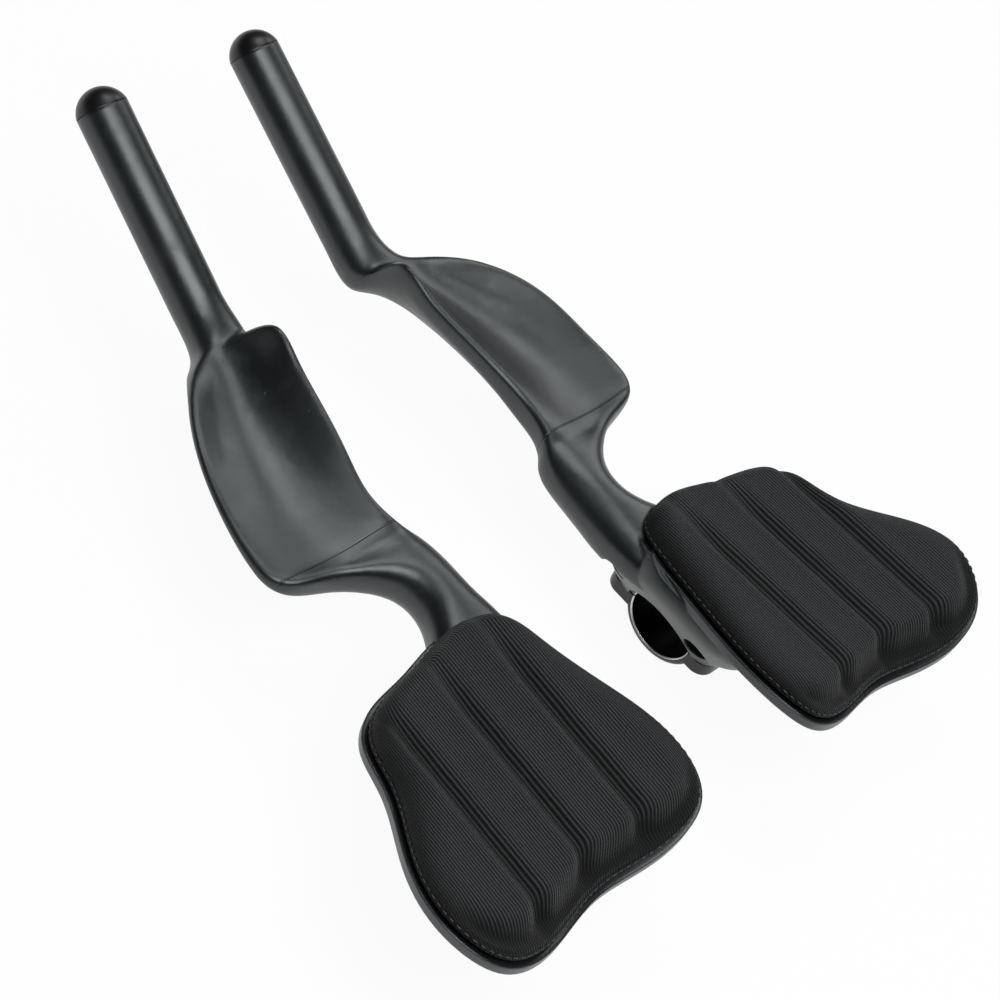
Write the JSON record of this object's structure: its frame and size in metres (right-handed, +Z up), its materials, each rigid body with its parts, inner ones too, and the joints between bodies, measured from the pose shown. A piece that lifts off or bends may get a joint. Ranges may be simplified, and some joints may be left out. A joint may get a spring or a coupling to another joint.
{
  "type": "time trial handlebar",
  "caption": "Handed pair of one-piece aero extensions for a time trial bar: capped grip tube, dished forearm scoop, grooved elbow pad on a tray, and a split base-bar clamp.",
  "frame": {"origin": "on the axis of the base bar, midway between the two units", "axes": "+X along the base bar to the rider's right, +Y forwards to the hands, +Z up"},
  "size_m": [0.3058, 0.3793, 0.1014],
  "materials": {
    "moulding": "satin",
    "plug": "matte",
    "clamp": "black anodised",
    "fastener": "satin",
    "tape": "matte",
    "pad": "ribbed"
  },
  "bodies": {
    "root": {"left_extension": "moulding", "left_end_cap": "plug", "left_clamp_cap": "clamp", "left_clamp_bolts": "fastener", "left_cross_nuts": "fastener", "left_hook_tape": "tape", "left_elbow_pad": "pad", "right_extension": "moulding", "right_end_cap": "plug", "right_clamp_cap": "clamp", "right_clamp_bolts": "fastener", "right_cross_nuts": "fastener", "right_hook_tape": "tape", "right_elbow_pad": "pad"}
  },
  "joints": []
}
